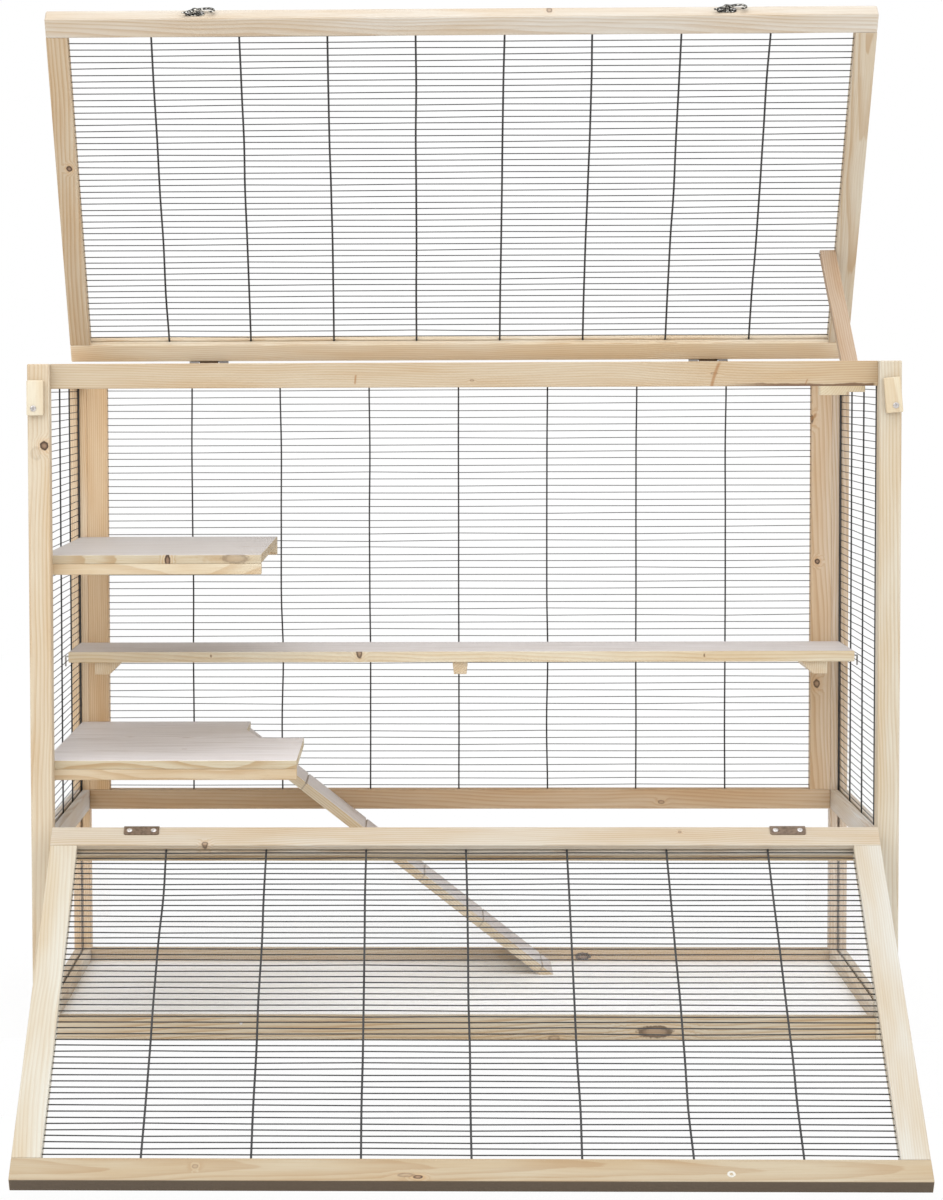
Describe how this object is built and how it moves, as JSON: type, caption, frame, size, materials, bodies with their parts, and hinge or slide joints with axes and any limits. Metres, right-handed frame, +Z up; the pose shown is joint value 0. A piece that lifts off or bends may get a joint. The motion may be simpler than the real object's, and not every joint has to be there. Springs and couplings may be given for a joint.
{
  "type": "wooden rodent house",
  "caption": "Wooden mesh cage for small rodents, with a propped lid, a drop-down front door, shelves and a ramp.",
  "frame": {"origin": "middle of the flat underside of the base, where the house stands on a surface", "axes": "+Z up; -Y the front with the drop-down door; +X to the right seen from the front, along the cage's long side"},
  "size_m": [1.1508, 1.1373, 1.4725],
  "materials": {
    "pine": "planed, unfinished",
    "wire": "dark coated welded wire",
    "pane": "clear",
    "white_board": "white coated board",
    "zinc": "zinc plated",
    "latch_metal": "nickel plated, darkened",
    "stud": "matt"
  },
  "bodies": {
    "cage": {"front_post_left": "pine", "front_post_right": "pine", "rear_post_left": "pine", "rear_post_right": "pine", "front_top_rail": "pine", "front_mid_rail": "pine", "front_base_rail": "pine", "side_top_rail_left": "pine", "side_top_rail_right": "pine", "side_mid_rail_left": "pine", "side_mid_rail_right": "pine", "side_base_rail_left": "pine", "side_base_rail_right": "pine", "back_top_rail": "pine", "back_mid_rail": "pine", "back_base_rail": "pine", "back_stile_left": "pine", "back_stile_right": "pine", "back_mesh": "wire", "side_mesh_left": "wire", "side_mesh_right": "wire", "front_pane": "pane", "back_pane": "pane", "side_panes": "pane", "floor_board": "white_board", "upper_platform": "pine", "upper_platform_battens": "pine", "lower_platform": "pine", "lower_platform_battens": "pine", "long_shelf": "pine", "shelf_battens": "pine", "shelf_hooks": "zinc", "ramp": "pine", "prop_ledge": "pine", "lid_hinge_frame_leaves": "zinc", "door_hinge_frame_leaves": "zinc", "hinge_pins": "zinc", "frame_screws": "zinc"},
    "lid": {"lid_rear_rail": "pine", "lid_front_rail": "pine", "lid_stile_left": "pine", "lid_stile_right": "pine", "lid_mesh": "wire", "lid_hinge_lid_leaves": "zinc", "latch_plates": "latch_metal", "lid_screws": "zinc"},
    "door": {"door_hinge_rail": "pine", "door_free_rail": "pine", "door_stile_left": "pine", "door_stile_right": "pine", "door_mesh": "wire", "door_hinge_door_leaves": "zinc", "door_keepers": "latch_metal", "door_screws": "zinc", "door_stud": "stud"},
    "prop_bar": {"prop": "pine"},
    "left_hook": {"latch_hook_left": "latch_metal"},
    "right_hook": {"latch_hook_right": "latch_metal"},
    "left_button": {"turn_button_left": "pine"},
    "right_button": {"turn_button_right": "pine"}
  },
  "joints": [
    {"name": "lid_hinge", "type": "hinge", "parent": "cage", "child": "lid", "pos_m": [0, 0.2929, 0.9015], "axis": [1, 0, 0], "range_deg": [0, 54.7]},
    {"name": "door_hinge", "type": "hinge", "parent": "cage", "child": "door", "pos_m": [0, -0.2929, 0.2705], "axis": [1, 0, 0], "range_deg": [-124.1, 0]},
    {"name": "prop_pivot", "type": "hinge", "parent": "lid", "child": "prop_bar", "pos_m": [0.5335, 0.19061, 1.056], "axis": [0.9999, 0.0124, 0.0088], "range_deg": [-89.9, 0]},
    {"name": "left_hook_pivot", "type": "hinge", "parent": "lid", "child": "left_hook", "pos_m": [-0.367, -0.03523, 1.38829], "axis": [0, 0.5779, -0.8161], "range_deg": [0, 90]},
    {"name": "right_hook_pivot", "type": "hinge", "parent": "lid", "child": "right_hook", "pos_m": [0.367, -0.03523, 1.38829], "axis": [0, 0.5779, -0.8161], "range_deg": [0, 90]},
    {"name": "left_button_pivot", "type": "hinge", "parent": "cage", "child": "left_button", "pos_m": [-0.566, -0.295, 0.8415], "axis": [0, 1, 0], "range_deg": [0, 90]},
    {"name": "right_button_pivot", "type": "hinge", "parent": "cage", "child": "right_button", "pos_m": [0.566, -0.295, 0.8415], "axis": [0, -1, 0], "range_deg": [-5, 85]}
  ],
  "couplings": [
    {"joint": "prop_pivot", "follows": "lid_hinge", "ratio": -1.6435}
  ]
}
